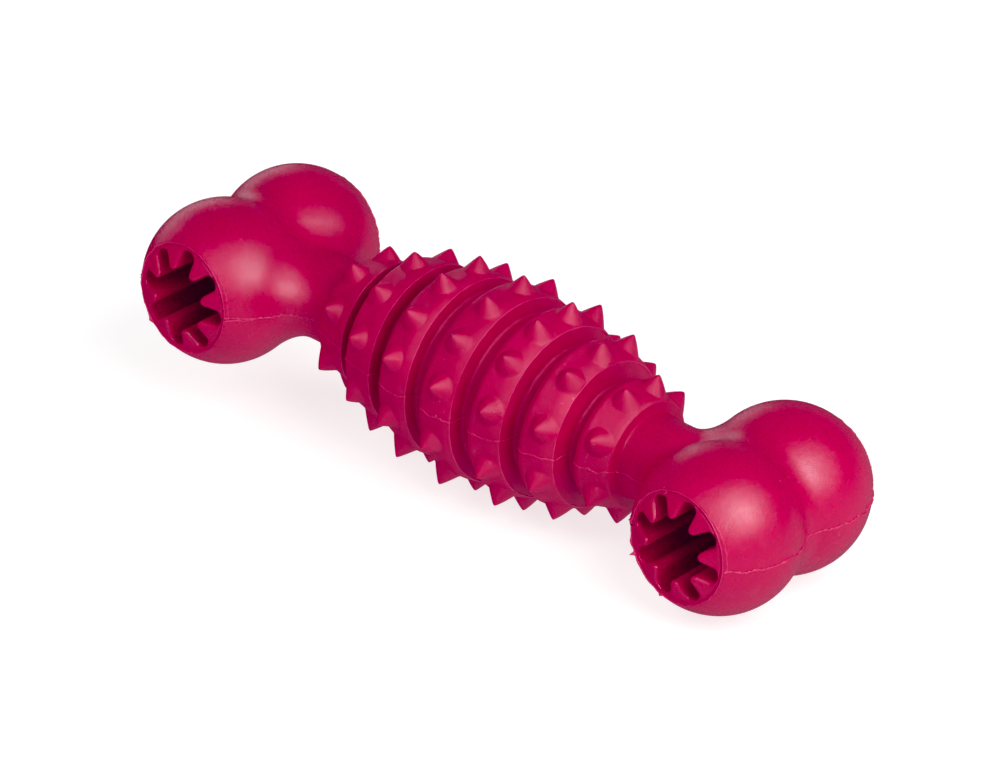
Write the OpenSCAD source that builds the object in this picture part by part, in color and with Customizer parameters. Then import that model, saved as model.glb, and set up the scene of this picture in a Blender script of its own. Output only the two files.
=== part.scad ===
// Chew toy shaped like a bone, moulded in rubber. Four end lobes carry two finned
// sockets, and seven spiked rings of falling size make up the barrel.
// X runs along the bone, Y along both sockets, and Z is up. The origin is on the
// ground under the middle of the bone. The bone leans a few degrees, as it does on
// a table, because it stands on the spikes of the middle ring and of the ring
// beside it on the +X side.

/* [Ends] */
// Distance from the middle of the bone to the axis of each socket
socket_x = 72; // [71.5:0.5:75]
// Radius of each ball-shaped end lobe
lobe_r = 18.6; // [18:0.1:19]
// Distance from the middle plane to the centre of a lobe, along the socket
lobe_y = 11.6; // [11.2:0.1:12]
// Radius of the waist between the front lobe and the rear lobe
waist_r = 15.8; // [15.6:0.1:16.2]
// Distance from the middle plane to the flat rim of a socket
rim_y = 24.6; // [24:0.1:25]

/* [Sockets] */
// Radius of the socket wall between the fins
socket_r = 12; // [11.6:0.1:12.4]
// Radius of the circle that the fin tips leave open
fin_tip_r = 7.2; // [6.6:0.1:8]
// Width of a fin at its tip
fin_tip_w = 2.1; // [1.9:0.1:2.5]
// Width of a fin at the socket wall
fin_root_w = 6.6; // [5.5:0.1:7.2]
// Distance that the fin tips stand out of the rim
fin_proud = 2.3; // [1:0.1:2.6]
// Turn of the left socket's fins about the socket axis, in degrees
left_turn = 18; // [0:1:44]
// Turn of the right socket's fins about the socket axis, in degrees
right_turn = 10; // [0:1:44]

/* [Necks] */
// Radius of the neck next to the barrel
neck_r = 9.75; // [9.2:0.05:10]
// Radius of the sweep from the neck out to the lobes
neck_sweep = 12.4; // [11:0.1:13]

/* [Barrel] */
// Radius of the middle ring
mid_ring_r = 22; // [21.6:0.1:22.4]
// Radius of the second ring from the middle, at its spikes
second_ring_r = 20.9; // [20.5:0.1:21.3]
// Radius of the third ring from the middle, at its spikes
third_ring_r = 18.4; // [18:0.1:18.8]
// Radius of the end ring, at its spikes
end_ring_r = 13.7; // [13.4:0.1:14]
// Radius of the floor of the groove beside the middle ring
first_groove_r = 17.8; // [17:0.1:18.5]
// Radius of the floor of the next groove
second_groove_r = 15.4; // [14.8:0.1:16]
// Radius of the floor of the groove beside the end ring
third_groove_r = 11.6; // [11:0.1:12]

/* [Spikes] */
// Radius of a spike where it leaves its ring
spike_r = 2.6; // [2.3:0.1:2.8]
// Radius of the blunt end of a spike
spike_end_r = 0.45; // [0.3:0.05:0.7]
// Height of the spikes of the middle ring
mid_spike_h = 3.3; // [3:0.1:3.6]
// Height of the spikes of the second ring from the middle
second_spike_h = 3.5; // [3.1:0.1:3.6]
// Height of the spikes of the third ring from the middle
third_spike_h = 3.05; // [2.7:0.05:3.3]
// Height of the spikes of the end ring
end_spike_h = 3.35; // [2.9:0.05:3.5]

/* [Hidden] */
$fn = 96;

// How a ring is described: middle of its spikes, inner side, outer side, radius
// at its spikes, fall of its top per millimetre outwards, width and depth of the
// bevel on its inner edge, width and depth of the bevel on its outer edge
mid_ring = [0, -4.1, 4.1, mid_ring_r, 0, 1.2, 0.6, 1.2, 0.6];
second_ring = [13.9, 9.6, 17.7, second_ring_r, 0.173, 1.1, 0.5, 1.2, 0.9];
third_ring = [26.6, 22, 30.1, third_ring_r, 0.22, 1.3, 0.5, 1, 1.4];
end_ring = [38.6, 33.9, 42.3, end_ring_r, 0.289, 1.3, 0.5, 0.9, 2.4];

// Angles of the spikes up and down from the front of the moulding line
mid_angles = [for (k = [0:5]) 19.6 + 28.16 * k];
third_angles = [for (k = [0:4]) 22.8 + 33.6 * k];
end_angles = [for (k = [0:3]) 28.2 + 41.2 * k];

// The lean that puts two spikes of the middle ring and two of the second ring on
// the ground, and the height of the bone's middle above it
mid_tip = mid_ring_r + mid_spike_h;
second_tip = second_ring_r + second_spike_h;
low = sin(mid_angles[2]);
lean = atan((mid_tip - second_tip) * low / second_ring[0]);
rest_h = mid_tip * low * cos(lean)
    + spike_end_r * sqrt(1 - pow(low * cos(lean), 2));

neck_from = end_ring[2];
sweep_from = socket_x - 29.1;
fillet_from = socket_x - 17;

// Stands a piece of the level bone on the ground
module placed() {
    translate([0, 0, rest_h]) rotate([0, lean, 0]) children();
}

// Turns a profile of radius and distance about the length of the bone
module turned_along_x() {
    rotate([0, 90, 0]) rotate_extrude() children();
}

// Turns something drawn about Z so that Z points to the front, along a socket
module facing_front() {
    rotate([90, 0, 0]) children();
}

// A profile of one lobe and half the waist, down to a bore of radius inside_r
module lobe_profile(inside_r) {
    intersection() {
        union() {
            translate([0, lobe_y]) circle(r = lobe_r);
            square([waist_r, lobe_y]);
        }
        translate([inside_r, 0]) square([lobe_r + 2, rim_y]);
    }
}

// One lobe on the +X end, with the socket bored through it
module front_lobe() {
    translate([socket_x, 0, 0]) facing_front()
        rotate_extrude() lobe_profile(socket_r);
}

module rear_lobe() {
    mirror([0, 1, 0]) front_lobe();
}

// Both lobes of the +X end with no bore
module whole_end() {
    translate([socket_x, 0, 0]) facing_front() rotate_extrude()
        intersection() {
            union() {
                translate([0, lobe_y]) circle(r = lobe_r);
                translate([0, -lobe_y]) circle(r = lobe_r);
                translate([0, -lobe_y]) square([waist_r, 2 * lobe_y]);
            }
            translate([0, -rim_y]) square([lobe_r + 2, 2 * rim_y]);
        }
}

// The eight fins of a socket, which run its whole length
module fins(turn) {
    facing_front() for (k = [0:7]) rotate([0, 0, turn + 45 * k])
        intersection() {
            linear_extrude(height = 2 * (rim_y + fin_proud + 1), center = true)
                polygon([
                    [fin_tip_r - 1, -fin_tip_w / 2],
                    [fin_tip_r + 0.4, -fin_tip_w / 2],
                    [socket_r + 0.5, -fin_root_w / 2],
                    [socket_r + 0.5, fin_root_w / 2],
                    [fin_tip_r + 0.4, fin_tip_w / 2],
                    [fin_tip_r - 1, fin_tip_w / 2]
                ]);
            rotate_extrude() polygon([
                [fin_tip_r, -rim_y - fin_proud],
                [socket_r, -rim_y],
                [socket_r, rim_y],
                [fin_tip_r, rim_y + fin_proud]
            ]);
        }
}

// The neck on the +X side, round by the barrel and swept out to the lobes in
// front and behind, while its top and bottom stay nearly level
module neck() {
    difference() {
        intersection() {
            turned_along_x() polygon(concat(
                [[0, neck_from], [neck_r, neck_from]],
                [for (a = [0:8:48]) [
                    neck_r + neck_sweep * (1 - cos(a)),
                    sweep_from + neck_sweep * sin(a)
                ]],
                [
                    [
                        neck_r + neck_sweep * (1 - cos(48)) + 5,
                        sweep_from + neck_sweep * sin(48) + 4.5
                    ],
                    [0, sweep_from + neck_sweep * sin(48) + 4.5 + 3]
                ]
            ));
            rotate([90, 0, 0])
                linear_extrude(height = 80, center = true) polygon(concat(
                    [[neck_from - 1, neck_r + 0.05]],
                    [for (b = [0:8:40]) [
                        fillet_from + 10 * sin(b),
                        neck_r + 0.05 + 10 * (1 - cos(b))
                    ]],
                    [for (b = [40:-8:0]) [
                        fillet_from + 10 * sin(b),
                        -neck_r - 0.05 - 10 * (1 - cos(b))
                    ]],
                    [[neck_from - 1, -neck_r - 0.05]]
                ));
        }
        whole_end();
    }
}

// The short drums between the rings, whose sides are the floors of the grooves
module core() {
    for (side = [-1, 1]) {
        drum(side, mid_ring[2], second_ring[1], first_groove_r);
        drum(side, second_ring[2], third_ring[1], second_groove_r);
        drum(side, third_ring[2], end_ring[1], third_groove_r);
    }
}

module drum(side, from, to, r) {
    rotate([0, side * 90, 0]) translate([0, 0, from])
        cylinder(h = to - from, r = r);
}

// The cones of one ring, each with a flat seat just below the ring's surface
module spikes(ring, height, angles) {
    x = ring[0];
    r = ring[3];
    fall = atan(ring[4]);
    grow = (spike_r - spike_end_r) / height;
    sink = pow(spike_r + 0.25, 2) / (2 * r) + 0.02;
    for (a = angles) for (up = [-1, 1])
        rotate([90 - up * a, 0, 0])
            intersection() {
                translate([x, 0, r - 1.5])
                    cylinder(
                        h = height + 1.5,
                        r1 = spike_r + 1.5 * grow, r2 = spike_end_r
                    );
                translate([x, 0, r - sink]) rotate([0, fall, 0])
                    translate([-8, -8, 0]) cube([16, 16, 12]);
            }
}

// A ring as a solid disc, with a shallow seat for each spike
module ring(ring, height, angles) {
    x = ring[0];
    r = ring[3];
    s = ring[4];
    difference() {
        turned_along_x() polygon([
            [0, ring[1]],
            [r + s * (x - ring[1] - ring[5]) - ring[6], ring[1]],
            [r + s * (x - ring[1] - ring[5]), ring[1] + ring[5]],
            [r - s * (ring[2] - ring[7] - x), ring[2] - ring[7]],
            [r - s * (ring[2] - ring[7] - x) - ring[8], ring[2]],
            [0, ring[2]]
        ]);
        spikes(ring, height, angles);
    }
}

module on_left() {
    mirror([1, 0, 0]) children();
}

module left_front_lobe() {
    color("#c8105e") placed() on_left() front_lobe();
}

module left_rear_lobe() {
    color("#a80c50") placed() on_left() rear_lobe();
}

module left_socket_fins() {
    color("#e86aa0") placed() translate([-socket_x, 0, 0]) fins(left_turn);
}

module left_neck() {
    color("#8e1248") placed() on_left() neck();
}

module right_front_lobe() {
    color("#c8105e") placed() front_lobe();
}

module right_rear_lobe() {
    color("#a80c50") placed() rear_lobe();
}

module right_socket_fins() {
    color("#e86aa0") placed() translate([socket_x, 0, 0]) fins(right_turn);
}

module right_neck() {
    color("#8e1248") placed() neck();
}

module barrel_core() {
    color("#6e0f3a") placed() core();
}

module ring_1() {
    color("#c2185b") placed() on_left() ring(end_ring, end_spike_h, end_angles);
}

module ring_2() {
    color("#d81b60") placed() on_left()
        ring(third_ring, third_spike_h, third_angles);
}

module ring_3() {
    color("#c2185b") placed() on_left()
        ring(second_ring, second_spike_h, mid_angles);
}

module ring_4() {
    color("#d81b60") placed() ring(mid_ring, mid_spike_h, mid_angles);
}

module ring_5() {
    color("#c2185b") placed() ring(second_ring, second_spike_h, mid_angles);
}

module ring_6() {
    color("#d81b60") placed() ring(third_ring, third_spike_h, third_angles);
}

module ring_7() {
    color("#c2185b") placed() ring(end_ring, end_spike_h, end_angles);
}

module ring_1_spikes() {
    color("#f06292") placed() on_left()
        spikes(end_ring, end_spike_h, end_angles);
}

module ring_2_spikes() {
    color("#f06292") placed() on_left()
        spikes(third_ring, third_spike_h, third_angles);
}

module ring_3_spikes() {
    color("#f06292") placed() on_left()
        spikes(second_ring, second_spike_h, mid_angles);
}

module ring_4_spikes() {
    color("#f06292") placed() spikes(mid_ring, mid_spike_h, mid_angles);
}

module ring_5_spikes() {
    color("#f06292") placed() spikes(second_ring, second_spike_h, mid_angles);
}

module ring_6_spikes() {
    color("#f06292") placed() spikes(third_ring, third_spike_h, third_angles);
}

module ring_7_spikes() {
    color("#f06292") placed() spikes(end_ring, end_spike_h, end_angles);
}

left_front_lobe();
left_rear_lobe();
left_socket_fins();
left_neck();
right_front_lobe();
right_rear_lobe();
right_socket_fins();
right_neck();
barrel_core();
ring_1();
ring_2();
ring_3();
ring_4();
ring_5();
ring_6();
ring_7();
ring_1_spikes();
ring_2_spikes();
ring_3_spikes();
ring_4_spikes();
ring_5_spikes();
ring_6_spikes();
ring_7_spikes();
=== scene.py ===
import math

import bpy
import numpy as np
from mathutils import Matrix, Vector


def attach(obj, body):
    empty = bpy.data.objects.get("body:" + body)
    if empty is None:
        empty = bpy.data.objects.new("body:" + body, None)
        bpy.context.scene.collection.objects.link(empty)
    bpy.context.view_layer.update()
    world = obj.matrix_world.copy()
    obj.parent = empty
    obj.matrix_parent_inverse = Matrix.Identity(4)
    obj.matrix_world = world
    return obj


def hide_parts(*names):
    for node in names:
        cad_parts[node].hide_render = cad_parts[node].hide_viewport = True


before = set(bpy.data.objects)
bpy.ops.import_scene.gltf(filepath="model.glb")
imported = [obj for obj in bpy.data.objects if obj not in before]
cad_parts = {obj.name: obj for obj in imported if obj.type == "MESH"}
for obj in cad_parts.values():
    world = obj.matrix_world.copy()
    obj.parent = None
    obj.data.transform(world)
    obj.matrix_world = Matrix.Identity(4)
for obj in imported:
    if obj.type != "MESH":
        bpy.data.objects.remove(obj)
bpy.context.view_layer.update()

# ---------------------------------------------------------------------------
# Sizes, in millimetres, in the frame of the level bone: X along the bone, -Y
# out of the sockets to the front, Z up through the moulding line.

LEAN = math.radians(3.593625)
REST = 24.6045

SOCKET_X = 72.0
NECK_R = 9.75
# centre and radius of the near and the far lobe of each knuckle, as moulded
LOBES = {
    "left": ((-71.5, -11.4, 0.0, 18.5), (-72.0, 11.9, 0.3, 18.25)),
    "right": ((72.45, -11.55, -0.25, 18.5), (71.2, 11.2, 0.15, 18.7)),
}
WAIST_BLEND = 3.45
# the rims aren't quite square to the bone: slew and tilt in degrees
RIM_TILT = {"left": (-0.8, 1.3), "right": (-0.8, 1.6)}
RIM_DEPTH = 13.35
LIP_IN = 12.1
TURN = {"left": 18.0, "right": 10.0}

SPIKE_BASE = 3.08
MID_ANGLES = [19.6 + 28.16 * k for k in range(6)]
THIRD_ANGLES = [22.8 + 33.6 * k for k in range(5)]
END_ANGLES = [28.2 + 41.2 * k for k in range(4)]
# spikes are a little uneven: shift along the bone in mm, round it in degrees
# and in height in mm, for spike k above (+k) or below (-k) the front parting
SPIKE_SHIFT = {
    1: {1: (0.15, -0.5, 0), 2: (-0.2, -2.6, 0), 3: (0.3, -4.2, -0.25), -1: (-0.75, 1.0, 0),
        -2: (-0.6, -0.7, -0.1)},
    2: {1: (0.25, -2.7, 0), 2: (0.1, -2.7, 0), 3: (0.2, -1.7, 0), 4: (0, -0.3, -0.15),
        -1: (0.15, 0.5, 0), -2: (0.7, 0, 0.45)},
    3: {1: (-0.25, 0.6, 0), 2: (0.35, -0.2, 0), 3: (0.5, -0.8, 0), 4: (0.7, -0.2, -0.1),
        5: (-0.45, 1.0, -0.2), -1: (-0.35, 0.8, 0), -2: (-0.35, -1.0, 0.35)},
    4: {1: (0.8, -1.4, 0), 2: (0.45, -1.8, 0), 3: (0.85, -3.4, -0.05), 4: (0.45, -3.1, -0.1),
        5: (-0.9, -1.6, -0.15), -1: (-0.7, 1.2, 0), -2: (-0.75, -0.2, 0.35)},
    5: {1: (0.5, -1.8, 0), 2: (0.15, 0.6, 0), 3: (0.35, -0.8, 0), 4: (0.3, -1.4, -0.05),
        5: (-0.4, -2.6, 0.2), -1: (0.3, -2.5, 0), -2: (0.3, -1.3, 0.1)},
    6: {1: (0.65, -2.7, 0), 2: (0.95, 2.1, 0), 3: (1.0, 0.3, -0.05), 4: (-0.35, -0.2, 0.3),
        -1: (0.45, 1.6, -0.05), -2: (0.5, -1.2, 0)},
    7: {1: (0.15, -1.3, 0), 2: (0.25, 4.1, 0.05), 3: (0.2, 0.7, 0), 4: (0.45, -1.5, 0.1),
        -1: (0.35, -1.5, 0), -2: (0.95, -2.8, 0)},
}

C, S = math.cos(LEAN), math.sin(LEAN)


def to_row(p):
    """Points of the level bone in mm to the row frame in metres."""
    p = np.asarray(p, float)
    out = np.empty_like(p)
    out[:, 0] = p[:, 0] * C + p[:, 2] * S
    out[:, 1] = p[:, 1]
    out[:, 2] = -p[:, 0] * S + p[:, 2] * C + REST
    return out * 0.001


def turn_row(n):
    """Directions of the level bone to the row frame."""
    out = np.empty_like(n)
    out[:, 0] = n[:, 0] * C + n[:, 2] * S
    out[:, 1] = n[:, 1]
    out[:, 2] = -n[:, 0] * S + n[:, 2] * C
    return out


# ---------------------------------------------------------------------------
# Meshes


def face_normals(p, f):
    a, b, c, d = (p[f[:, i]] for i in range(4))
    return np.cross(c - a, d - b)


def vertex_normals(p, quads):
    """Area-weighted normals of the points of a quad mesh."""
    fn = face_normals(p, quads)
    out = np.zeros_like(p)
    for i in range(4):
        for ax in range(3):
            out[:, ax] += np.bincount(quads[:, i], fn[:, ax], len(p))
    return out / np.maximum(np.linalg.norm(out, axis=1), 1e-12)[:, None]


def add_piece(name, points, quads, tris=None, normals=None, material=None):
    """A mesh object from points of the level bone in mm."""
    me = bpy.data.meshes.new(name)
    co = to_row(points)
    nq = len(quads)
    nt = 0 if tris is None else len(tris)
    loops = quads.ravel() if nt == 0 else np.concatenate([quads.ravel(), tris.ravel()])
    starts = np.concatenate([np.arange(nq) * 4, nq * 4 + np.arange(nt) * 3])
    me.vertices.add(len(co))
    me.vertices.foreach_set("co", co.astype(np.float32).ravel())
    me.loops.add(len(loops))
    me.loops.foreach_set("vertex_index", loops.astype(np.int32))
    me.polygons.add(nq + nt)
    me.polygons.foreach_set("loop_start", starts.astype(np.int32))
    me.update(calc_edges=True)
    me.polygons.foreach_set("use_smooth", np.ones(nq + nt, bool))
    if me.validate():
        print("mesh", name, "needed mending")
    if normals is not None:
        me.normals_split_custom_set_from_vertices(turn_row(normals).astype(np.float32))
    o = bpy.data.objects.new(name, me)
    bpy.context.scene.collection.objects.link(o)
    o.data.materials.append(material or rubber)
    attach(o, "root")
    return o


# ---------------------------------------------------------------------------
# Smooth noise in space, from a few sums of sines with fixed seeds


def wave_field(seed, wavelength, count=14):
    rng = np.random.default_rng(seed)
    d = rng.normal(size=(count, 3))
    d /= np.linalg.norm(d, axis=1)[:, None]
    k = d * (2 * math.pi / wavelength) * rng.uniform(0.6, 1.5, count)[:, None]
    ph = rng.uniform(0, 2 * math.pi, count)

    def field(p):
        return np.sin(p @ k.T + ph).sum(1) / math.sqrt(count / 2)

    return field


def wave_line(seed, wavelength, count=12):
    rng = np.random.default_rng(seed)
    k = (2 * math.pi / wavelength) * rng.uniform(0.5, 1.9, count)
    ph = rng.uniform(0, 2 * math.pi, count)

    def field(s):
        return np.sin(np.outer(s, k) + ph).sum(1) / math.sqrt(count / 2)

    return field


# ---------------------------------------------------------------------------
# The rubber


def rubber_material(name, low, middle, high, gloss_low, gloss_high, grain_depth):
    mat = bpy.data.materials.new(name)
    mat.use_nodes = True
    nt = mat.node_tree
    nt.nodes.clear()
    out = nt.nodes.new("ShaderNodeOutputMaterial")
    bsdf = nt.nodes.new("ShaderNodeBsdfPrincipled")
    nt.links.new(bsdf.outputs[0], out.inputs["Surface"])
    tc = nt.nodes.new("ShaderNodeTexCoord")

    def noise(scale, detail, rough, offset=0.0):
        n = nt.nodes.new("ShaderNodeTexNoise")
        n.inputs["Scale"].default_value = scale
        n.inputs["Detail"].default_value = detail
        n.inputs["Roughness"].default_value = rough
        if offset:
            m = nt.nodes.new("ShaderNodeMapping")
            m.inputs["Location"].default_value = (offset, offset * 0.7, -offset)
            nt.links.new(tc.outputs["Object"], m.inputs["Vector"])
            nt.links.new(m.outputs[0], n.inputs["Vector"])
        else:
            nt.links.new(tc.outputs["Object"], n.inputs["Vector"])
        return n

    def ramp(src, stops):
        r = nt.nodes.new("ShaderNodeValToRGB")
        els = r.color_ramp.elements
        while len(els) < len(stops):
            els.new(0.5)
        for e, (pos, col) in zip(els, stops):
            e.position = pos
            e.color = col if len(col) == 4 else (*col, 1.0)
        nt.links.new(src, r.inputs[0])
        return r

    def math_node(op, a, b):
        m = nt.nodes.new("ShaderNodeMath")
        m.operation = op
        for i, v in enumerate((a, b)):
            if isinstance(v, (int, float)):
                m.inputs[i].default_value = v
            else:
                nt.links.new(v, m.inputs[i])
        return m.outputs[0]

    def mix_colour(kind, fac, a, b):
        m = nt.nodes.new("ShaderNodeMix")
        m.data_type = "RGBA"
        m.blend_type = kind
        for socket, v in ((m.inputs[0], fac), (m.inputs[6], a), (m.inputs[7], b)):
            if isinstance(v, (int, float, tuple)):
                socket.default_value = v
            else:
                nt.links.new(v, socket)
        return m.outputs[2]

    # colour: clouds in the pigment, a finer mottle, pale specks and bloom
    clouds = noise(55.0, 3.0, 0.55)
    base = ramp(
        clouds.outputs["Fac"],
        [
            (0.30, low),
            (0.52, middle),
            (0.74, high),
        ],
    )
    mottle = noise(2100.0, 3.0, 0.7, 0.37)
    shade = ramp(mottle.outputs["Fac"], [(0.32, (0.84, 0.84, 0.84)), (0.70, (1.12, 1.12, 1.12))])
    colour = mix_colour("MULTIPLY", 1.0, base.outputs[0], shade.outputs[0])
    bloom_noise = noise(140.0, 5.0, 0.66, 1.9)
    bloom = ramp(bloom_noise.outputs["Fac"], [(0.56, (0, 0, 0)), (0.80, (0.11, 0.11, 0.11))])
    colour = mix_colour("MIX", bloom.outputs[0], colour, (0.72, 0.16, 0.26, 1.0))
    speck_noise = noise(1150.0, 1.0, 0.5, 3.1)
    where_noise = noise(48.0, 2.0, 0.5, 5.3)
    specks = ramp(speck_noise.outputs["Fac"], [(0.735, (0, 0, 0)), (0.775, (1, 1, 1))])
    places = ramp(where_noise.outputs["Fac"], [(0.50, (0, 0, 0)), (0.62, (0.5, 0.5, 0.5))])
    speck_mask = math_node("MULTIPLY", specks.outputs[0], places.outputs[0])
    colour = mix_colour("MIX", speck_mask, colour, (0.74, 0.22, 0.30, 1.0))
    nt.links.new(colour, bsdf.inputs["Base Color"])

    # gloss: satin, patchy where the rubber has been rubbed
    gloss_noise = noise(210.0, 4.0, 0.6, 7.7)
    gloss = ramp(gloss_noise.outputs["Fac"], [(0.30, (gloss_low,) * 3), (0.72, (gloss_high,) * 3)])
    nt.links.new(gloss.outputs[0], bsdf.inputs["Roughness"])

    # surface: the grain of the mould, a slower unevenness, and fine scuffs
    grain = noise(4200.0, 2.0, 0.6, 9.1)
    uneven = noise(170.0, 3.0, 0.5, 11.0)
    scuff_map = nt.nodes.new("ShaderNodeMapping")
    scuff_map.inputs["Rotation"].default_value = (0.5, 0.9, 0.35)
    scuff_map.inputs["Scale"].default_value = (2600.0, 180.0, 900.0)
    nt.links.new(tc.outputs["Object"], scuff_map.inputs["Vector"])
    scuff_noise = nt.nodes.new("ShaderNodeTexNoise")
    scuff_noise.inputs["Scale"].default_value = 1.0
    scuff_noise.inputs["Detail"].default_value = 2.0
    nt.links.new(scuff_map.outputs[0], scuff_noise.inputs["Vector"])
    scuffs = ramp(scuff_noise.outputs["Fac"], [(0.62, (0, 0, 0)), (0.74, (1, 1, 1))])
    height = math_node("MULTIPLY", grain.outputs["Fac"], grain_depth)
    height = math_node("ADD", height, math_node("MULTIPLY", uneven.outputs["Fac"], 0.16))
    height = math_node("ADD", height, math_node("MULTIPLY", scuffs.outputs[0], 0.004))
    bump = nt.nodes.new("ShaderNodeBump")
    bump.inputs["Strength"].default_value = 1.0
    bump.inputs["Distance"].default_value = 0.001
    nt.links.new(height, bump.inputs["Height"])
    nt.links.new(bump.outputs[0], bsdf.inputs["Normal"])

    bsdf.inputs["IOR"].default_value = 1.5
    bsdf.inputs["Specular IOR Level"].default_value = 0.46
    bsdf.inputs["Sheen Weight"].default_value = 0.0
    return mat


rubber = rubber_material(
    "rubber", (0.385, 0.0008, 0.037), (0.425, 0.0010, 0.042), (0.465, 0.0020, 0.049), 0.24, 0.31, 0.07
)
# the part of the mould that cuts the rings left a coarser skin
rough_rubber = rubber_material(
    "rubber_rings", (0.385, 0.0008, 0.037), (0.425, 0.0010, 0.042), (0.465, 0.0020, 0.049), 0.34, 0.43,
    0.15
)
# torn flash is duller than the skin; its paler colour is a painted highlight, so that the thin lines show
# bright
flash = rubber_material(
    "rubber_flash_painted_highlight", (0.44, 0.009, 0.058), (0.50, 0.020, 0.080), (0.58, 0.045, 0.120), 0.40, 0.50, 0.05
)

# ---------------------------------------------------------------------------
# The two ends: knuckle, socket, fins and neck as one signed distance field


def blend_union(a, b, rho):
    """Union of two fields, filleted with radius rho."""
    u = np.maximum(rho - a, 0)
    v = np.maximum(rho - b, 0)
    return np.maximum(rho, np.minimum(a, b)) - np.sqrt(u * u + v * v)


def blend_cut(a, b, rho):
    """Intersection of two fields, with its edge rounded to radius rho."""
    return -blend_union(-a, -b, rho)


def rim_frame(side, rear=False):
    """Where a rim lies: its centre, outward normal, two directions in its plane and sizes."""
    near, far = LOBES[side]
    slew, tilt = (math.radians(v) for v in RIM_TILT[side])
    n = np.array([math.sin(slew), -math.cos(slew) * math.cos(tilt), math.sin(tilt)])
    lobe, depth = near, RIM_DEPTH
    if rear:
        n[1] = -n[1]
        lobe, depth = far, RIM_DEPTH - near[1] - far[1]
    n /= np.linalg.norm(n)
    centre, radius = np.array(lobe[:3]), lobe[3]
    e1 = np.array([1.0, 0, 0])
    e1 -= n * (e1 @ n)
    e1 /= np.linalg.norm(e1)
    e2 = np.array([0, 0, 1.0])
    e2 -= n * (e2 @ n) + e1 * (e2 @ e1)
    e2 /= np.linalg.norm(e2)
    return {"lobe": centre, "radius": radius, "depth": depth, "o": centre + n * depth, "n": n,
            "e1": e1, "e2": e2, "rim": math.sqrt(radius ** 2 - depth ** 2)}


RIMS = {side: (rim_frame(side), rim_frame(side, True)) for side in ("left", "right")}


def outer_field(p, side):
    """Lobes, waist and neck of one end, with no socket."""
    sign = 1.0 if side == "right" else -1.0
    near, far = LOBES[side]
    a = np.sqrt(((p - np.array(near[:3])) ** 2).sum(1)) - near[3]
    b = np.sqrt(((p - np.array(far[:3])) ** 2).sum(1)) - far[3]
    ends = blend_union(a, b, WAIST_BLEND)
    v, w = p[:, 1], p[:, 2]
    q = np.sqrt(v * v + w * w)
    flare = 0.35 * np.exp(-np.clip(p[:, 0] * sign - 42.3, 0, 40) / 0.8)
    neck = np.maximum((q - NECK_R - flare) * 0.9, p[:, 0] * sign - SOCKET_X)
    across = v * v / np.maximum(v * v + w * w, 1e-9)
    return blend_union(ends, neck, 3.1 + 4.7 * across)


def cap_height(r):
    """How far the fins stand out at a distance r from the socket axis, inside a low lip."""
    fins = 0.40 * np.clip(LIP_IN - r, 0, 5.8)
    dip = -0.15 * np.exp(-(((r - LIP_IN + 0.02) / 0.2) ** 2))
    return fins + dip


def hole_field(cx, cz, turn):
    """The socket seen along its axis: an open middle and eight slots between fins."""
    r = np.sqrt(cx * cx + cz * cz)
    phi = np.degrees(np.arctan2(cz, cx)) - turn - 22.5
    phi = np.radians(phi - 45 * np.round(phi / 45))
    px, py = r * np.cos(phi), r * np.sin(phi)
    t = np.clip(px, 4.0, 9.95)
    slot = np.sqrt((px - t) ** 2 + py * py) - (1.8 + 0.03 * (9.95 - t))
    return blend_union(r - 6.9, slot, 0.85)


def end_field(p, side):
    """Field of one whole end. p is in the frame of the level bone."""
    solid = outer_field(p, side)
    front, rear = RIMS[side]
    share = np.clip((p[:, 1] - front["o"][1]) / (rear["o"][1] - front["o"][1]), 0, 1)
    cx = p[:, 0] - front["o"][0] - (rear["o"][0] - front["o"][0]) * share
    cz = p[:, 2] - front["o"][2] - (rear["o"][2] - front["o"][2]) * share
    r = np.sqrt(cx * cx + cz * cz)
    cap = np.maximum((p - front["o"]) @ front["n"], (p - rear["o"]) @ rear["n"]) - cap_height(r)
    solid = blend_cut(solid, cap * 0.93, 0.2)
    hole = hole_field(cx, cz, TURN[side])
    soft = np.clip((12.1 - r) / 1.2, 0, 1)
    return blend_cut(solid, -hole, 0.3 + 0.75 * soft * soft * (3 - 2 * soft))


def spaced(*spans):
    """Grid lines from spans of (start, end, step)."""
    out = [spans[0][0]]
    for a, b, step in spans:
        n = max(1, int(round((b - a) / step)))
        out.extend(a + (b - a) * (i + 1) / n for i in range(n))
    return np.array(out)


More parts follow.
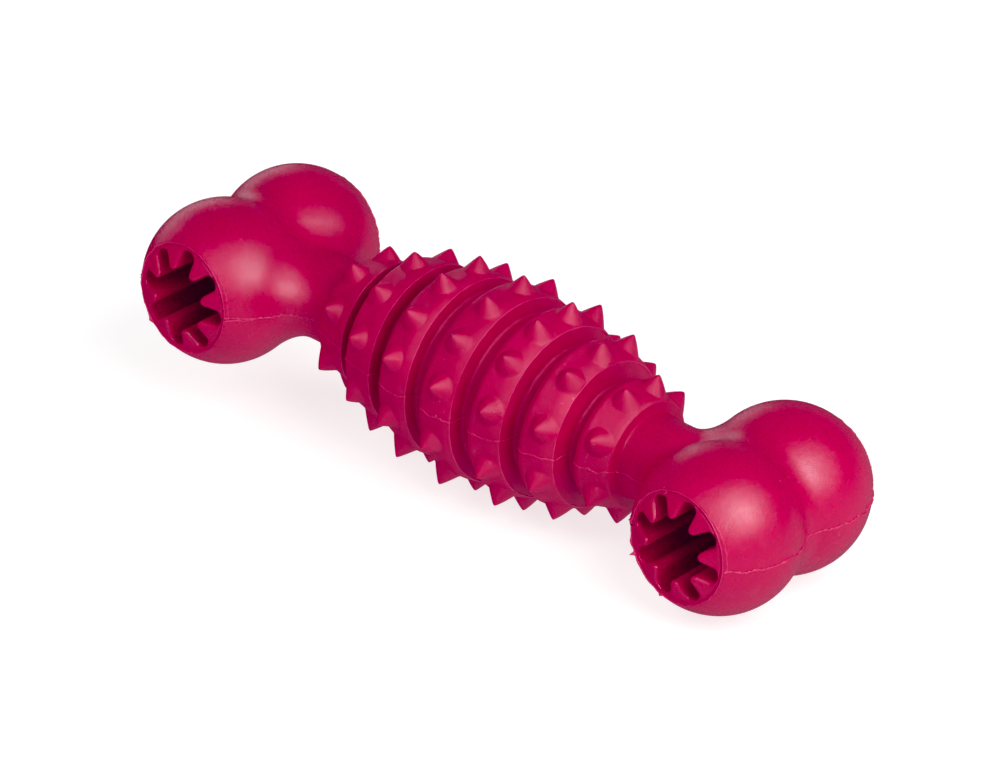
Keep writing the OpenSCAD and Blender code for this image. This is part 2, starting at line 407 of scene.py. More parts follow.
def surface_net(field, xs, ys, zs):
    """A closed quad mesh of a field's zero surface on a grid of uneven steps."""
    nx, ny, nz = len(xs), len(ys), len(zs)
    vals = np.empty((nx, ny, nz), np.float32)
    yy, zz = np.meshgrid(ys, zs, indexing="ij")
    yy, zz = yy.ravel(), zz.ravel()
    for i, x in enumerate(xs):
        vals[i] = field(np.stack([np.full(yy.size, x), yy, zz], 1)).reshape(ny, nz)
    inside = vals < 0
    n = np.zeros((nx - 1, ny - 1, nz - 1), np.int8)
    for a in (0, 1):
        for b in (0, 1):
            for c in (0, 1):
                n += inside[a : nx - 1 + a, b : ny - 1 + b, c : nz - 1 + c]
    cells = np.argwhere((n > 0) & (n < 8))
    ids = np.full(n.shape, -1, np.int64)
    ids[tuple(cells.T)] = np.arange(len(cells))
    total = np.zeros((len(cells), 3))
    count = np.zeros(len(cells))
    corner = [(a, b, c) for a in (0, 1) for b in (0, 1) for c in (0, 1)]
    for i, p in enumerate(corner):
        for q in corner[i + 1 :]:
            if sum(abs(s - t) for s, t in zip(p, q)) != 1:
                continue
            ip = tuple((cells + p).T)
            iq = tuple((cells + q).T)
            fp, fq = vals[ip].astype(float), vals[iq].astype(float)
            cross = (fp < 0) != (fq < 0)
            t = np.where(cross, fp / np.where(cross, fp - fq, 1), 0)
            a = np.stack([xs[ip[0]], ys[ip[1]], zs[ip[2]]], 1)
            b = np.stack([xs[iq[0]], ys[iq[1]], zs[iq[2]]], 1)
            pt = a + (b - a) * t[:, None]
            total += pt * cross[:, None]
            count += cross
    pts = total / count[:, None]
    low = np.stack([xs[cells[:, 0]], ys[cells[:, 1]], zs[cells[:, 2]]], 1)
    high = np.stack([xs[cells[:, 0] + 1], ys[cells[:, 1] + 1], zs[cells[:, 2] + 1]], 1)
    for _ in range(4):
        f, g = field_and_gradient(field, pts)
        step = f[:, None] * g / np.maximum((g * g).sum(1), 0.05)[:, None]
        pts = np.clip(pts - step, low, high)
    quads = []
    for axis in range(3):
        sl0 = [slice(None)] * 3
        sl1 = [slice(None)] * 3
        sl0[axis], sl1[axis] = slice(0, -1), slice(1, None)
        s0, s1 = inside[tuple(sl0)], inside[tuple(sl1)]
        edges = np.argwhere(s0 != s1)
        o1, o2 = [a for a in range(3) if a != axis]
        lim = n.shape
        ok = (
            (edges[:, o1] > 0) & (edges[:, o2] > 0)
            & (edges[:, o1] < lim[o1]) & (edges[:, o2] < lim[o2])
        )
        edges = edges[ok]
        first_inside = s0[tuple(edges.T)]
        four = []
        for d1, d2 in ((-1, -1), (0, -1), (0, 0), (-1, 0)):
            c = edges.copy()
            c[:, o1] += d1
            c[:, o2] += d2
            four.append(ids[tuple(c.T)])
        q = np.stack(four, 1)
        flip = first_inside if axis != 1 else ~first_inside
        q[~flip] = q[~flip][:, ::-1]
        quads.append(q)
    return pts, np.concatenate(quads)


def field_and_gradient(field, pts, e=0.02):
    f = field(pts)
    g = np.empty_like(pts)
    for ax in range(3):
        d = np.zeros(3)
        d[ax] = e
        g[:, ax] = (field(pts + d) - field(pts - d)) / (2 * e)
    return f, g


def build_end(side):
    sign = 1.0 if side == "right" else -1.0
    xs_out = spaced((40.6, 58.6, 0.72), (58.6, 85.4, 0.275), (85.4, 91.2, 0.46))
    xs = xs_out if sign > 0 else -xs_out[::-1]
    ys = spaced((-27.6, -21.6, 0.25), (-21.6, 21.6, 1.0), (21.6, 27.6, 0.28))
    zs = spaced((-19.2, -13.2, 0.46), (-13.2, 13.2, 0.27), (13.2, 19.2, 0.46))

    def field(p):
        d = end_field(p, side)
        return np.maximum(d, 41.0 - p[:, 0] * sign)

    pts, quads = surface_net(field, xs, ys, zs)
    _, g = field_and_gradient(lambda p: end_field(p, side), pts)
    nrm = g / np.maximum(np.linalg.norm(g, axis=1), 1e-9)[:, None]
    o = add_piece(f"{side}_end", pts, quads, normals=nrm)
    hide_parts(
        f"{side}_front_lobe", f"{side}_rear_lobe", f"{side}_socket_fins", f"{side}_neck"
    )
    return o


# ---------------------------------------------------------------------------
# The rings, as turned profiles with their spikes drawn out of the top


def round_path(points, step=0.3, arc=0.14):
    """A profile through (x, r, corner radius), with its corners rounded."""
    pts = [np.array(p[:2], float) for p in points]
    out = [pts[0]]
    for i in range(1, len(pts) - 1):
        rad = points[i][2]
        a, b, c = pts[i - 1], pts[i], pts[i + 1]
        d1, d2 = (a - b) / np.linalg.norm(a - b), (c - b) / np.linalg.norm(c - b)
        half = math.acos(max(-1, min(1, float(d1 @ d2)))) / 2
        if rad <= 0 or half > math.pi / 2 - 0.01:
            out.append(b)
            continue
        tangent = rad / math.tan(half)
        room = min(np.linalg.norm(a - b), np.linalg.norm(c - b)) * 0.49
        if tangent > room:
            tangent = room
            rad = tangent * math.tan(half)
        centre = b + (d1 + d2) / np.linalg.norm(d1 + d2) * (rad / math.sin(half))
        s, e = b + d1 * tangent, b + d2 * tangent
        n = max(3, int(math.ceil(rad * (math.pi - 2 * half) / arc)))
        a0 = math.atan2(*(s - centre)[::-1])
        a1 = math.atan2(*(e - centre)[::-1])
        da = (a1 - a0 + math.pi) % (2 * math.pi) - math.pi
        for k in range(n + 1):
            t = a0 + da * k / n
            out.append(centre + rad * np.array([math.cos(t), math.sin(t)]))
    out.append(pts[-1])
    dense = [out[0]]
    for p in out[1:]:
        q = dense[-1]
        m = max(1, int(math.ceil(np.linalg.norm(p - q) / step)))
        dense.extend(q + (p - q) * (j + 1) / m for j in range(m))
    return np.array(dense)


def top_line(ring):
    """Corner points of a ring's section from its inner side to its outer side."""
    x, a, b, r, s, iw, idp, ow, odp = ring
    return [
        (a, r + s * (x - a - iw) - idp),
        (a + iw, r + s * (x - a - iw)),
        (b - ow, r - s * (b - ow - x)),
        (b, r - s * (b - ow - x) - odp),
    ]


MID = (0.0, -4.15, 4.15, 22.0, 0.0, 1.2, 0.55, 1.2, 0.55)
SECOND = (13.9, 9.6, 17.75, 20.9, 0.165, 1.1, 0.5, 1.25, 0.95)
THIRD = (26.6, 22.0, 30.25, 18.4, 0.21, 1.2, 0.5, 1.1, 1.35)
END = (38.6, 33.9, 42.45, 13.72, 0.275, 1.3, 0.5, 1.1, 1.9)
FLOOR = (17.8, 15.4, 11.6)
SEAM = (6.875, 19.87, 32.07)
# the crisp crest on the +X side of each ring, as moulded: x and radius
CREST = {1: (-33.2, 15.0), 2: (-21.3, 18.9), 3: (-9.0, 20.65), 4: (4.65, 21.35), 5: (17.5, 19.7),
         6: (30.25, 16.8), 7: (42.2, 12.15)}
CREST_DRAFT = 0.45


def crisp_side(ring, number):
    """Points from a ring's top, curving gently down to its crisp crest."""
    x, r, slope = ring[0], ring[3], ring[4]
    cx, cr = CREST[number]
    if number < 4:
        cx, slope = -cx, -slope
    toward = 1.0 if cx > x else -1.0
    if number < 4:
        def line(v):
            return r + abs(slope) * (x - v)
    else:
        def line(v):
            return r - slope * (v - x)
    span = 2.9
    out = []
    for t in (0.0, 0.25, 0.45, 0.65, 0.85):
        v = cx - toward * span * (1 - t)
        out.append((v, line(v) - (line(cx) - cr) * t ** 1.7, 0))
    out.append((cx, cr, 0.16))
    return out


def ring_profile(number, ring, seam_in, seam_out, floor_in, floor_out, crisp_in=False, neck=False):
    """Half of a section, from groove to groove. The wall that faces +X has the crisper edge."""
    a, b = ring[1], ring[2]
    t = top_line(ring)
    if crisp_in:
        crest = crisp_side(ring, number)[::-1]
        pts = [(seam_in, floor_in, 0), (crest[0][0] - CREST_DRAFT, floor_in, 0.8)] + crest
    else:
        pts = [(seam_in, floor_in, 0), (a - 0.45, floor_in, 0.8), (*t[0], 0.5), (*t[1], 1.1)]
    if neck:
        c = CREST[7]
        line = ring[3] - ring[4] * (c[0] - ring[0])
        pts += [(c[0] - 1.7, line + ring[4] * 1.7, 2.0), (c[0] - 0.4, line - 0.05, 0.8),
                (c[0], c[1], 0.3), (c[0] + 0.16, 10.1, 0.2), (c[0] + 0.5, 9.6, 0.1), (c[0] + 0.8, 9.1, 0)]
    elif crisp_in:
        pts += [(*t[2], 1.1), (*t[3], 0.5), (b + 0.45, floor_out, 0.8), (seam_out, floor_out, 0)]
    else:
        crest = crisp_side(ring, number)
        pts += crest + [(crest[-1][0] + CREST_DRAFT, floor_out, 0.8), (seam_out, floor_out, 0)]
    return round_path(pts)


def spike_height(d, tall, e, base=SPIKE_BASE, crease=0.09):
    m = tall / (math.sqrt(base * base + e * e) - e)
    h = tall + m * e - m * np.sqrt(d * d + e * e)
    return 0.5 * (h + np.sqrt(h * h + crease * crease)) * (h > -1.2)


def build_ring(number, ring, mirror, seam_in, seam_out, floor_in, floor_out, angles, tall,
               columns, neck=False, both=False):
    x0 = ring[0]
    if both:
        t = top_line(ring)
        crest = crisp_side(ring, number)
        pts = [(-seam_out, floor_out, 0), (-t[3][0] - 0.45, floor_out, 0.8),
               (-t[3][0], t[3][1], 0.5), (-t[2][0], t[2][1], 1.1), (-0.6, t[2][1] + 0.05, 60.0)]
        pts += crest + [(crest[-1][0] + CREST_DRAFT, floor_out, 0.8), (seam_out, floor_out, 0)]
        prof = round_path(pts)
    else:
        prof = ring_profile(number, ring, seam_in, seam_out, floor_in, floor_out, mirror, neck)
    # rows on the top get closer together, so that the spikes keep their shape
    on_top = (prof[:, 0] > x0 - 3.7) & (prof[:, 0] < x0 + 3.4) & (prof[:, 1] > ring[3] - 2.5)
    dense = [prof[0]]
    for i in range(1, len(prof)):
        p, q = prof[i - 1], prof[i]
        length = np.linalg.norm(q - p)
        m = max(1, int(math.ceil(length / 0.235))) if on_top[i] and on_top[i - 1] else 1
        dense.extend(p + (q - p) * (j + 1) / m for j in range(m))
    prof = np.array(dense)
    rows = len(prof)
    theta = np.arange(columns) * (2 * math.pi / columns)
    X = np.repeat(prof[:, 0][:, None], columns, 1)
    R = np.repeat(prof[:, 1][:, None], columns, 1)
    T = np.repeat(theta[None], rows, 0).copy()
    top = np.zeros(rows, bool)
    i0 = int(np.argmax(prof[:, 1] > ring[3] - 2.6))
    i1 = rows - int(np.argmax(prof[::-1, 1] > ring[3] - 2.6))
    top[i0:i1] = True
    # the top as a function of x, to re-read the radius where points are drawn in
    tp = prof[i0:i1]
    keep = np.concatenate([[True], np.diff(np.maximum.accumulate(tp[:, 0])) > 1e-6])
    tx, tr = tp[keep, 0], tp[keep, 1]
    rng = np.random.default_rng(100 + number)
    rise = np.zeros_like(R)
    reach = 3.25
    for up in (1, -1):
        for k, a in enumerate(angles):
            loose = (rng.normal() * 0.25, rng.normal() * 1.2, rng.normal() * 0.07)
            along, round_it, taller = SPIKE_SHIFT[number].get(up * (k + 1), loose)
            th = math.radians(up * a + round_it)
            t_here = tall + taller
            e_here = rng.uniform(0.22, 0.36)
            xc = x0 + (-along if mirror else along)
            rs = np.interp(x0, tx, tr)
            dth = (T - th + math.pi) % (2 * math.pi) - math.pi
            s = dth * rs
            ax = X - xc
            d = np.sqrt(s * s + ax * ax)
            near = (d < reach) & top[:, None]
            f = np.ones_like(d)
            f[near] = np.maximum(d[near] / reach, 1e-6) ** 0.32
            T = np.where(near, T + dth * (f - 1), T)
            X = np.where(near, xc + ax * f, X)
            R = np.where(near, np.interp(X, tx, tr), R)
            d2 = np.where(near, d * f, d)
            rise += np.where((d < reach + 0.8) & top[:, None],
                             spike_height(d2, t_here, e_here), 0)
    R = R + rise
    sign = -1.0 if mirror else 1.0
    P = np.stack([X * sign, -R * np.cos(T), R * np.sin(T)], -1).reshape(-1, 3)
    i, j = np.meshgrid(np.arange(rows - 1), np.arange(columns), indexing="ij")
    i, j = i.ravel(), j.ravel()
    jn = (j + 1) % columns
    quads = np.stack([i * columns + j, i * columns + jn, (i + 1) * columns + jn,
                      (i + 1) * columns + j], 1)
    if not mirror:
        quads = quads[:, ::-1]
    nrm = vertex_normals(P, quads)
    radial = np.stack([np.zeros(columns), -np.cos(theta), np.sin(theta)], 1)
    nrm[:columns] = radial
    nrm[-columns:] = radial
    # flat discs close both ends inside the toy
    n0 = len(P)
    P = np.concatenate([P, [[prof[0, 0] * sign, 0, 0], [prof[-1, 0] * sign, 0, 0]]])
    nrm = np.concatenate([nrm, [[-sign, 0, 0], [sign, 0, 0]]])
    j = np.arange(columns)
    jn = (j + 1) % columns
    last = (rows - 1) * columns
    t1 = np.stack([np.full(columns, n0), jn, j], 1)
    t2 = np.stack([np.full(columns, n0 + 1), last + j, last + jn], 1)
    if not mirror:
        t1, t2 = t1[:, ::-1], t2[:, ::-1]
    tris = np.concatenate([t1, t2])
    o = add_piece(f"ring_{number}_skin", P, quads, tris, nrm, rough_rubber)
    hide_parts(f"ring_{number}", f"ring_{number}_spikes")
    return o, prof


pieces = []
profiles = {}
o, profiles[4] = build_ring(4, MID, False, 0, SEAM[0], FLOOR[0], FLOOR[0], MID_ANGLES, 3.3, 548,
                            both=True)
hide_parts("barrel_core")
pieces.append(o)
for number, ring, s_in, s_out, f_in, f_out, angles, tall, cols, neck in (
    (5, SECOND, SEAM[0], SEAM[1], FLOOR[0], FLOOR[1], MID_ANGLES, 3.45, 528, False),
    (6, THIRD, SEAM[1], SEAM[2], FLOOR[1], FLOOR[2], THIRD_ANGLES, 3.1, 470, False),
    (7, END, SEAM[2], 0, FLOOR[2], FLOOR[2], END_ANGLES, 3.35, 372, True),
):
    o, profiles[number] = build_ring(number, ring, False, s_in, s_out, f_in, f_out, angles, tall,
                                     cols, neck)
    pieces.append(o)
    o, profiles[8 - number] = build_ring(8 - number, ring, True, s_in, s_out, f_in, f_out, angles,
                                         tall, cols, neck)
    pieces.append(o)
for side in ("left", "right"):
    pieces.append(build_end(side))

# ---------------------------------------------------------------------------
# Flash: the moulding line round the whole bone, and the lips of the four rims


def unit(v):
    return v / np.maximum(np.linalg.norm(v, axis=1), 1e-12)[:, None]


def ridge(points, up, width, height, closed=False, sink=0.35):
    """A low ridge along a path, as points and faces. up is the way it stands out."""
    n = len(points)
    if closed:
        along = np.roll(points, -1, 0) - np.roll(points, 1, 0)
    else:
        along = np.gradient(points, axis=0)
    along = unit(along)
    side = unit(np.cross(along, up))
    up = unit(up)
    section = ((-0.5, None), (-0.5, -0.03), (-0.30, 0.70), (0.0, 1.0), (0.30, 0.70),
               (0.5, -0.03), (0.5, None))
    m = len(section)
    out = np.empty((n, m, 3))
    for j, (a, b) in enumerate(section):
        lift = np.full(n, -sink) if b is None else height * b
        out[:, j] = points + side * (width * a)[:, None] + up * lift[:, None]
    i = np.arange(n if closed else n - 1)
    quads = []
    for j in range(m):
        k = (j + 1) % m
        i2 = (i + 1) % n
        quads.append(np.stack([i * m + j, i * m + k, i2 * m + k, i2 * m + j], 1))
    quads = np.concatenate(quads)
    pts = out.reshape(-1, 3)
    tris = np.zeros((0, 3), int)
    if not closed:
        fan0 = [(0, j + 1, j) for j in range(1, m - 1)]
        fan1 = [((n - 1) * m, (n - 1) * m + j, (n - 1) * m + j + 1) for j in range(1, m - 1)]
        tris = np.array(fan0 + fan1)
    middle = pts[quads].mean(1)
    outward = np.sum(face_normals(pts, quads) * (middle - np.repeat(points, 1, 0)[
        (quads[:, 0] // m)]), 1).sum()
    if outward < 0:
        quads, tris = quads[:, ::-1], tris[:, ::-1]
    return pts, quads, tris


def gather(name, parts):
    """One piece of flash from several ridges."""
    pts, quads, tris, base = [], [], [], 0
    for p, q, t in parts:
        pts.append(p)
        quads.append(q + base)
        tris.append(t + base)
        base += len(p)
    pts, quads, tris = np.concatenate(pts), np.concatenate(quads), np.concatenate(tris)
    nrm = vertex_normals(pts, quads)
    # the flash pieces take the paler flash colour, a painted highlight on their ridges
    o = add_piece(name, pts, quads, tris if len(tris) else None, nrm, flash)
    pieces.append(o)
    return o


def even(path, step):
    """A path with points at even steps."""
    d = np.concatenate([[0], np.cumsum(np.linalg.norm(np.diff(path, axis=0), axis=1))])
    s = np.linspace(0, d[-1], max(2, int(round(d[-1] / step))))
    return np.stack([np.interp(s, d, path[:, i]) for i in range(path.shape[1])], 1), s


def knuckle_outline(side, start, stop):
    """The outline of a knuckle in the parting plane, by direction from the socket axis."""
    sign = 1.0 if side == "right" else -1.0
    angles = np.radians(np.linspace(start, stop, int(abs(stop - start) / 0.4) + 2))
    d = np.stack([sign * np.cos(angles), np.sin(angles), np.zeros_like(angles)], 1)
    c = np.array([RIMS[side][0]["o"][0], 0, 0])
    low, high = np.full(len(d), 2.0), np.full(len(d), 60.0)
    for _ in range(40):
        mid = (low + high) / 2
        out = outer_field(c + d * mid[:, None], side) > 0
        high = np.where(out, mid, high)
        low = np.where(out, low, mid)
    return c + d * low[:, None]


def outline_up(points, hint):
    """Normals of a path that lies in the parting plane."""
    along = unit(np.gradient(points, axis=0))
    up = np.stack([along[:, 1], -along[:, 0], np.zeros(len(points))], 1)
    flip = np.sign((up * hint).sum(1))
    return up * np.where(flip == 0, 1, flip)[:, None]


def rim_angle(side, front, outer):
    """Direction in degrees of a rim's edge in the parting plane."""
    rim = RIMS[side][0 if front else 1]
    sign = 1.0 if side == "right" else -1.0
    reach = rim["rim"] * (1 if outer else -1) + 0.15
    return math.degrees(math.atan2(rim["o"][1], reach + sign * (rim["o"][0] - RIMS[side][0]["o"][0])))


def barrel_outline():
    """x and radius along all seven rings and their grooves, from left to right."""
    rows = []
    for k in range(1, 8):
        prof = profiles[k].copy()
        if k in (1, 7):
            prof = prof[~((prof[:, 0] > 40) & (prof[:, 1] < 10.05))]
        if k < 4:
            prof = prof[::-1] * np.array([-1, 1])
        rows.append(prof if k == 1 else prof[1:])
    return np.concatenate(rows)


def ridge_noise(seed, s, base, spread, wavelength, least):
    return np.maximum(base * (1 + spread * wave_line(seed, wavelength)(s)), least)


def moulding_line():
    parts = []
    barrel = barrel_outline()
    for k, front in enumerate((True, False)):
        y = -1.0 if front else 1.0
        # along the barrel
        path = np.stack([barrel[:, 0], y * barrel[:, 1], np.zeros(len(barrel))], 1)
        path, s = even(path, 0.2)
        hint = np.tile([0, y, 0], (len(path), 1)).astype(float)
        up = outline_up(path, hint)
        # the hint is of no use on upright walls: keep the side that is outside
        step = np.gradient(path, axis=0)
        up = np.stack([-step[:, 1], step[:, 0], np.zeros(len(step))], 1)
        up = unit(up) * (-y if np.sum(step[:, 0]) * y > 0 and y < 0 else 1)
        if np.sum(up[:, 1]) * y < 0:
            up = -up
        path[:, 2] = 0.14 * wave_line(31 + k, 7.0)(s) + 0.04 * wave_line(41 + k, 1.3)(s)
        parts.append(ridge(path, up, ridge_noise(51 + k, s, 0.33, 0.20, 1.6, 0.18),
                           ridge_noise(61 + k, s, 0.19, 0.35, 1.1, 0.06)))
        for side in ("left", "right"):
            # from the rim to the neck
            a0 = rim_angle(side, front, False)
            neck = math.degrees(math.atan2(y * 9.98, -29.95))
            if front:
                a0, neck = a0 % 360 - 360, neck % 360 - 360
            path, s = even(knuckle_outline(side, a0, neck), 0.25)
            centre = np.array([RIMS[side][0]["o"][0], 0, 0])
            up = outline_up(path, path - centre)
            fade = np.exp(-s / 3.2)
            j = k * 2 + (side == "left")
            path[:, 2] = 0.16 * wave_line(71 + j, 8.0)(s) + 0.05 * wave_line(81 + j, 1.2)(s)
            parts.append(ridge(path, up,
                               ridge_noise(91 + j, s, 0.42, 0.26, 1.7, 0.2) * (1 + 0.3 * fade),
                               ridge_noise(101 + j, s, 0.27, 0.40, 1.2, 0.07)))
            # near the rim the line is double for a short way
            few = s < 7.5
            twin = path[few].copy()
            twin[:, 2] += 0.75 * np.clip(1 - s[few] / 7.5, 0, 1) ** 0.7
            parts.append(ridge(twin, up[few], ridge_noise(111 + j, s[few], 0.34, 0.2, 1.5, 0.18),
                               ridge_noise(121 + j, s[few], 0.20, 0.4, 1.0, 0.05)))
    for j, side in enumerate(("left", "right")):
        # round the outside, over both lobes and the waist
        a0, a1 = rim_angle(side, True, True), rim_angle(side, False, True)
        path, s = even(knuckle_outline(side, a0, a1), 0.25)
        up = outline_up(path, path - np.array([RIMS[side][0]["o"][0], 0, 0]))
        step_over = 0.35 / (1 + np.exp(-(s - s[-1] * 0.47) / 0.35))
        path[:, 2] = (0.18 * wave_line(131 + j, 9.0)(s) + 0.03 * wave_line(141 + j, 1.6)(s)
                      + step_over - 0.17)
        width = ridge_noise(151 + j, s, 0.40, 0.30, 1.9, 0.20)
        height = ridge_noise(161 + j, s, 0.23, 0.40, 1.6, 0.05)
        nick = np.exp(-(((s - s[-1] * 0.27) / 1.1) ** 2))
        parts.append(ridge(path, up, width * (1 + 0.9 * nick), height * (1 + 0.9 * nick)))
    return gather("moulding_line", parts)


def rim_lips():
    parts = []
    for j, (side, rear) in enumerate((("left", False), ("right", False), ("left", True),
                                      ("right", True))):
        rim = RIMS[side][1 if rear else 0]
        n = 420
        phi = np.arange(n) * (2 * math.pi / n)
        deg = np.degrees(phi)
        s = phi * rim["rim"]

        def bump(at, half):
            return np.exp(-((((deg - at + 180) % 360 - 180) / half) ** 2))

        turns = phi * 1.0
        rng = np.random.default_rng(171 + j)
        wander = sum(rng.normal() * 0.018 * np.sin(q * turns + rng.uniform(0, 6.28))
                     for q in range(3, 34))
        rough = sum(rng.normal() * 0.016 * np.sin(q * turns + rng.uniform(0, 6.28))
                    for q in range(24, 110, 2))
        r = rim["rim"] - 0.10 + 0.6 * wander
        over = np.maximum(r - rim["rim"], 0)
        back = np.where(over > 0, np.sqrt(np.maximum(rim["radius"] ** 2 - r * r, 1)) - rim["depth"], 0)
        radial = np.cos(phi)[:, None] * rim["e1"] + np.sin(phi)[:, None] * rim["e2"]
        pts = rim["o"] + radial * r[:, None] + rim["n"] * back[:, None]
        up = unit(radial * 0.6 + rim["n"])
        width = np.clip(0.27 + 0.22 * wander + 0.10 * rough + 0.12 * bump(40, 20), 0.16, 1.0)
        height = np.clip(0.19 + 0.5 * wander + 0.20 * rough, 0.03, 0.6)
        # a second, outer line runs from the parting line's end back up to the rim
        arc = np.radians(np.linspace(-1.0, 58.0, 90))
        away = 0.58 * (1 - np.clip((np.degrees(arc) - 22) / 40, 0, 1) ** 1.5)
        ra = rim["rim"] + away + 0.03 * wave_line(181 + j, 2.0)(arc * rim["rim"])
        da = np.sqrt(rim["radius"] ** 2 - ra * ra) - rim["depth"]
        out = np.cos(arc)[:, None] * rim["e1"] + np.sin(arc)[:, None] * rim["e2"]
        outer = rim["o"] + out * ra[:, None] + rim["n"] * da[:, None]
        sa = arc * rim["rim"]
        parts.append(ridge(outer, unit(outer - rim["lobe"]),
                           ridge_noise(191 + j, sa, 0.30, 0.2, 2.0, 0.15),
                           ridge_noise(194 + j, sa, 0.14, 0.3, 1.4, 0.04)))
        if (side, rear) == ("left", False):
            height *= 1 - 0.85 * bump(338, 5) - 0.7 * bump(328, 2)
            height += 0.35 * bump(225, 2.2) + 0.3 * bump(322, 1.6) + 0.25 * bump(343, 1.6)
        if (side, rear) == ("right", False):
            height += 1.15 * bump(209, 1.3) + 0.15 * bump(150, 3.0) + 0.5 * bump(257, 2.0)
            height += 0.35 * bump(176, 5) + 0.25 * bump(196, 4)
        parts.append(ridge(pts, up, width, np.maximum(height, 0.02), closed=True))
    return gather("rim_lips", parts)


def ring_flash():
    """Fine lines where the mould's plates meet: on a crest of each ring and in the grooves."""
    parts = []
    for k in range(1, 8):
        x, r = CREST[k]
        x1, r1 = x - 0.03, r - 0.03
        n = int(2 * math.pi * r1 / 0.42)
        phi = np.arange(n) * (2 * math.pi / n)
        rng = np.random.default_rng(200 + 10 * k)
        noise = sum(rng.normal() * 0.11 * np.sin(q * phi + rng.uniform(0, 6.28))
                    for q in range(3, 60, 2))
        upper = 0.40 + 0.60 * np.clip((np.sin(phi) + 0.2) / 0.4, 0, 1)
        radial = np.stack([np.zeros(n), -np.cos(phi), np.sin(phi)], 1)
        if k < 7:
            pts = radial * r1 + np.array([x1, 0, 0])
            pts[:, 0] += 0.05 * noise
            parts.append(ridge(pts, unit(radial + np.array([0.75, 0, 0])), 0.30 * (1 + 0.25 * noise),
                               np.maximum(0.13 * upper * (1 + 0.4 * noise), 0.015), closed=True,
                               sink=0.2))
        # at the foot of the wall the line shows only in places
        foot = {1: FLOOR[2], 2: FLOOR[1], 3: FLOOR[0], 4: FLOOR[0], 5: FLOOR[1], 6: FLOOR[2]}
        for j, (a0, a1) in enumerate(((12, 60), (116, 148), (200, 232))):
            arc = np.radians(np.linspace(a0 + 3 * (k % 3), a1 - 4 * (k % 2), 90))
            t = np.linspace(0, 1, 90)
            taper = np.sin(math.pi * t) ** 0.6
            out = np.stack([np.zeros(90), -np.cos(arc), np.sin(arc)], 1)
            if k < 7:
                xf, rf = x + CREST_DRAFT, foot[k] + 0.28
            else:
                xf, rf = 42.42, 10.04
            line = out * rf + np.array([xf, 0, 0])
            line[:, 0] += 0.05 * wave_line(240 + 10 * k + j, 4.0)(arc * rf)
            parts.append(ridge(line, unit(out + np.array([0.5, 0, 0])), 0.13 * (0.3 + 0.7 * taper),
                               0.045 * taper - 0.02 * (1 - taper), sink=0.2))
    return gather("ring_flash", parts)


moulding_line()
rim_lips()
ring_flash()

# ---------------------------------------------------------------------------
# Camera


def set_camera():
    cam = bpy.data.cameras.new("camera")
    o = bpy.data.objects.new("camera", cam)
    bpy.context.scene.collection.objects.link(o)
    right = Vector((0.74186, 0.67039, 0.01495))
    up = Vector((-0.31105, 0.32428, 0.89336))
    back = Vector((0.59405, -0.66740, 0.44909))
    right.normalize()
    up = (up - right * up.dot(right)).normalized()
    back = right.cross(up)
    m = Matrix((right, up, back)).transposed().to_4x4()
    m.translation = (0.9675, -1.0871, 0.75663)
    o.matrix_world = m
    cam.sensor_fit = "HORIZONTAL"
    cam.sensor_width = 36.0
    cam.lens = 271.583
    cam.clip_start = 0.05
    cam.clip_end = 20.0
    bpy.context.scene.camera = o
    return o


set_camera()

# ---------------------------------------------------------------------------
# Floor and light


def pale_material(name, colour, rough, glow):
    mat = bpy.data.materials.new(name)
    mat.use_nodes = True
    nt = mat.node_tree
    b = nt.nodes["Principled BSDF"]
    b.inputs["Roughness"].default_value = rough
    b.inputs["Specular IOR Level"].default_value = 0.1
    b.inputs["Emission Color"].default_value = (1.0, 1.0, 1.0, 1.0)
    b.inputs["Emission Strength"].default_value = glow
    tc = nt.nodes.new("ShaderNodeTexCoord")
    n = nt.nodes.new("ShaderNodeTexNoise")
    n.inputs["Scale"].default_value = 3.0
    r = nt.nodes.new("ShaderNodeValToRGB")
    r.color_ramp.elements[0].color = (*[c * 0.985 for c in colour], 1)
    r.color_ramp.elements[1].color = (*colour, 1)
    nt.links.new(tc.outputs["Object"], n.inputs["Vector"])
    nt.links.new(n.outputs["Fac"], r.inputs[0])
    nt.links.new(r.outputs[0], b.inputs["Base Color"])
    return mat


me = bpy.data.meshes.new("floor")
s = 6.0
me.from_pydata([(-s, -s, 0), (s, -s, 0), (s, s, 0), (-s, s, 0)], [], [(0, 1, 2, 3)])
floor = bpy.data.objects.new("floor", me)
bpy.context.scene.collection.objects.link(floor)
floor.data.materials.append(pale_material("floor", (0.42, 0.42, 0.42), 0.8, 0.74))
floor.visible_glossy = False


def soft_box(name, azimuth, elevation, distance, width, height, power, glossy=True, diffuse=True,
             colour=(1.0, 1.0, 1.0)):
    """A rectangular light, facing the toy. Azimuth is from the front towards +X."""
    d = bpy.data.lights.new(name, "AREA")
    d.shape = "RECTANGLE"
    d.size = width
    d.size_y = height
    d.energy = power
    d.color = colour
    o = bpy.data.objects.new(name, d)
    bpy.context.scene.collection.objects.link(o)
    az, el = math.radians(azimuth), math.radians(elevation)
    v = Vector((math.sin(az) * math.cos(el), -math.cos(az) * math.cos(el), math.sin(el)))
    o.location = v * distance + Vector((0, 0, 0.02))
    o.rotation_euler = v.to_track_quat("Z", "Y").to_euler()
    o.visible_glossy = glossy
    o.visible_diffuse = diffuse
    o.visible_camera = False
    return o


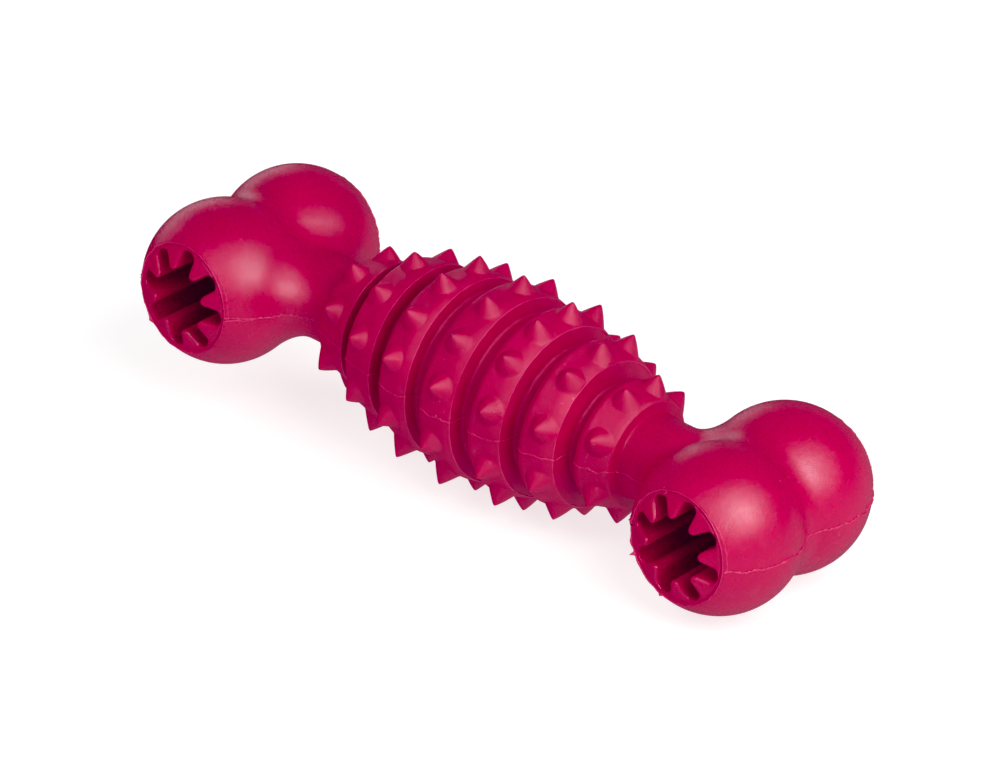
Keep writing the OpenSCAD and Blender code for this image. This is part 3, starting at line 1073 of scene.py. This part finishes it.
soft_box("sheen", 64, 45, 0.75, 1.70, 0.84, 10.6, diffuse=False, colour=(0.92, 1.0, 0.98))
soft_box("core", 80, 35, 0.42, 0.12, 0.11, 0.9, diffuse=False, colour=(0.70, 1.0, 0.95))
soft_box("key", 82, 39, 0.95, 0.80, 0.70, 9.2, glossy=False)
soft_box("fill", -38, 42, 1.5, 1.5, 1.2, 8.8, glossy=False)
soft_box("card", -112, 8, 1.6, 1.3, 0.36, 2.2)


def studio_world():
    """A dim room above, and the lit table below, brighter towards the lamp."""
    world = bpy.data.worlds.new("world")
    bpy.context.scene.world = world
    world.use_nodes = True
    nt = world.node_tree
    back = nt.nodes["Background"]
    tc = nt.nodes.new("ShaderNodeTexCoord")
    sep = nt.nodes.new("ShaderNodeSeparateXYZ")
    ramp = nt.nodes.new("ShaderNodeValToRGB")
    nt.links.new(tc.outputs["Generated"], sep.inputs[0])
    nt.links.new(sep.outputs["Z"], ramp.inputs[0])
    els = ramp.color_ramp.elements
    for _ in range(2):
        els.new(0.5)
    for e, (pos, v) in zip(els, ((0.02, 0.24), (0.10, 0.20), (0.50, 0.20), (1.0, 0.22))):
        e.position = pos
        e.color = (v, v, v, 1.0)

    def node(op, a, b, clamp=False):
        m = nt.nodes.new("ShaderNodeMath")
        m.operation = op
        m.use_clamp = clamp
        for i, v in enumerate((a, b)):
            if isinstance(v, (int, float)):
                m.inputs[i].default_value = v
            else:
                nt.links.new(v, m.inputs[i])
        return m.outputs[0]

    toward = node("ADD", node("MULTIPLY", sep.outputs["X"], 0.966),
                  node("MULTIPLY", sep.outputs["Y"], -0.259))
    table = node("MAXIMUM", node("ADD", node("MULTIPLY", toward, 0.44), 0.42), 0.02)
    below = node("MULTIPLY", node("SUBTRACT", 0.0, sep.outputs["Z"]), 25.0, clamp=True)
    mix = nt.nodes.new("ShaderNodeMix")
    mix.data_type = "RGBA"
    nt.links.new(below, mix.inputs[0])
    nt.links.new(ramp.outputs[0], mix.inputs[6])
    nt.links.new(table, mix.inputs[7])
    nt.links.new(mix.outputs[2], back.inputs[0])
    back.inputs[1].default_value = 1.25


studio_world()

view = bpy.context.scene.view_settings
view.view_transform = "Standard"
view.look = "None"
view.exposure = 0.0
view.gamma = 1.0
view.use_curve_mapping = True
view.curve_mapping.black_level = (0.0, 0.031, -0.0045)

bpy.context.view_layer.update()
for o in pieces:
    print(o.name, len(o.data.vertices), "points", len(o.data.polygons), "faces")
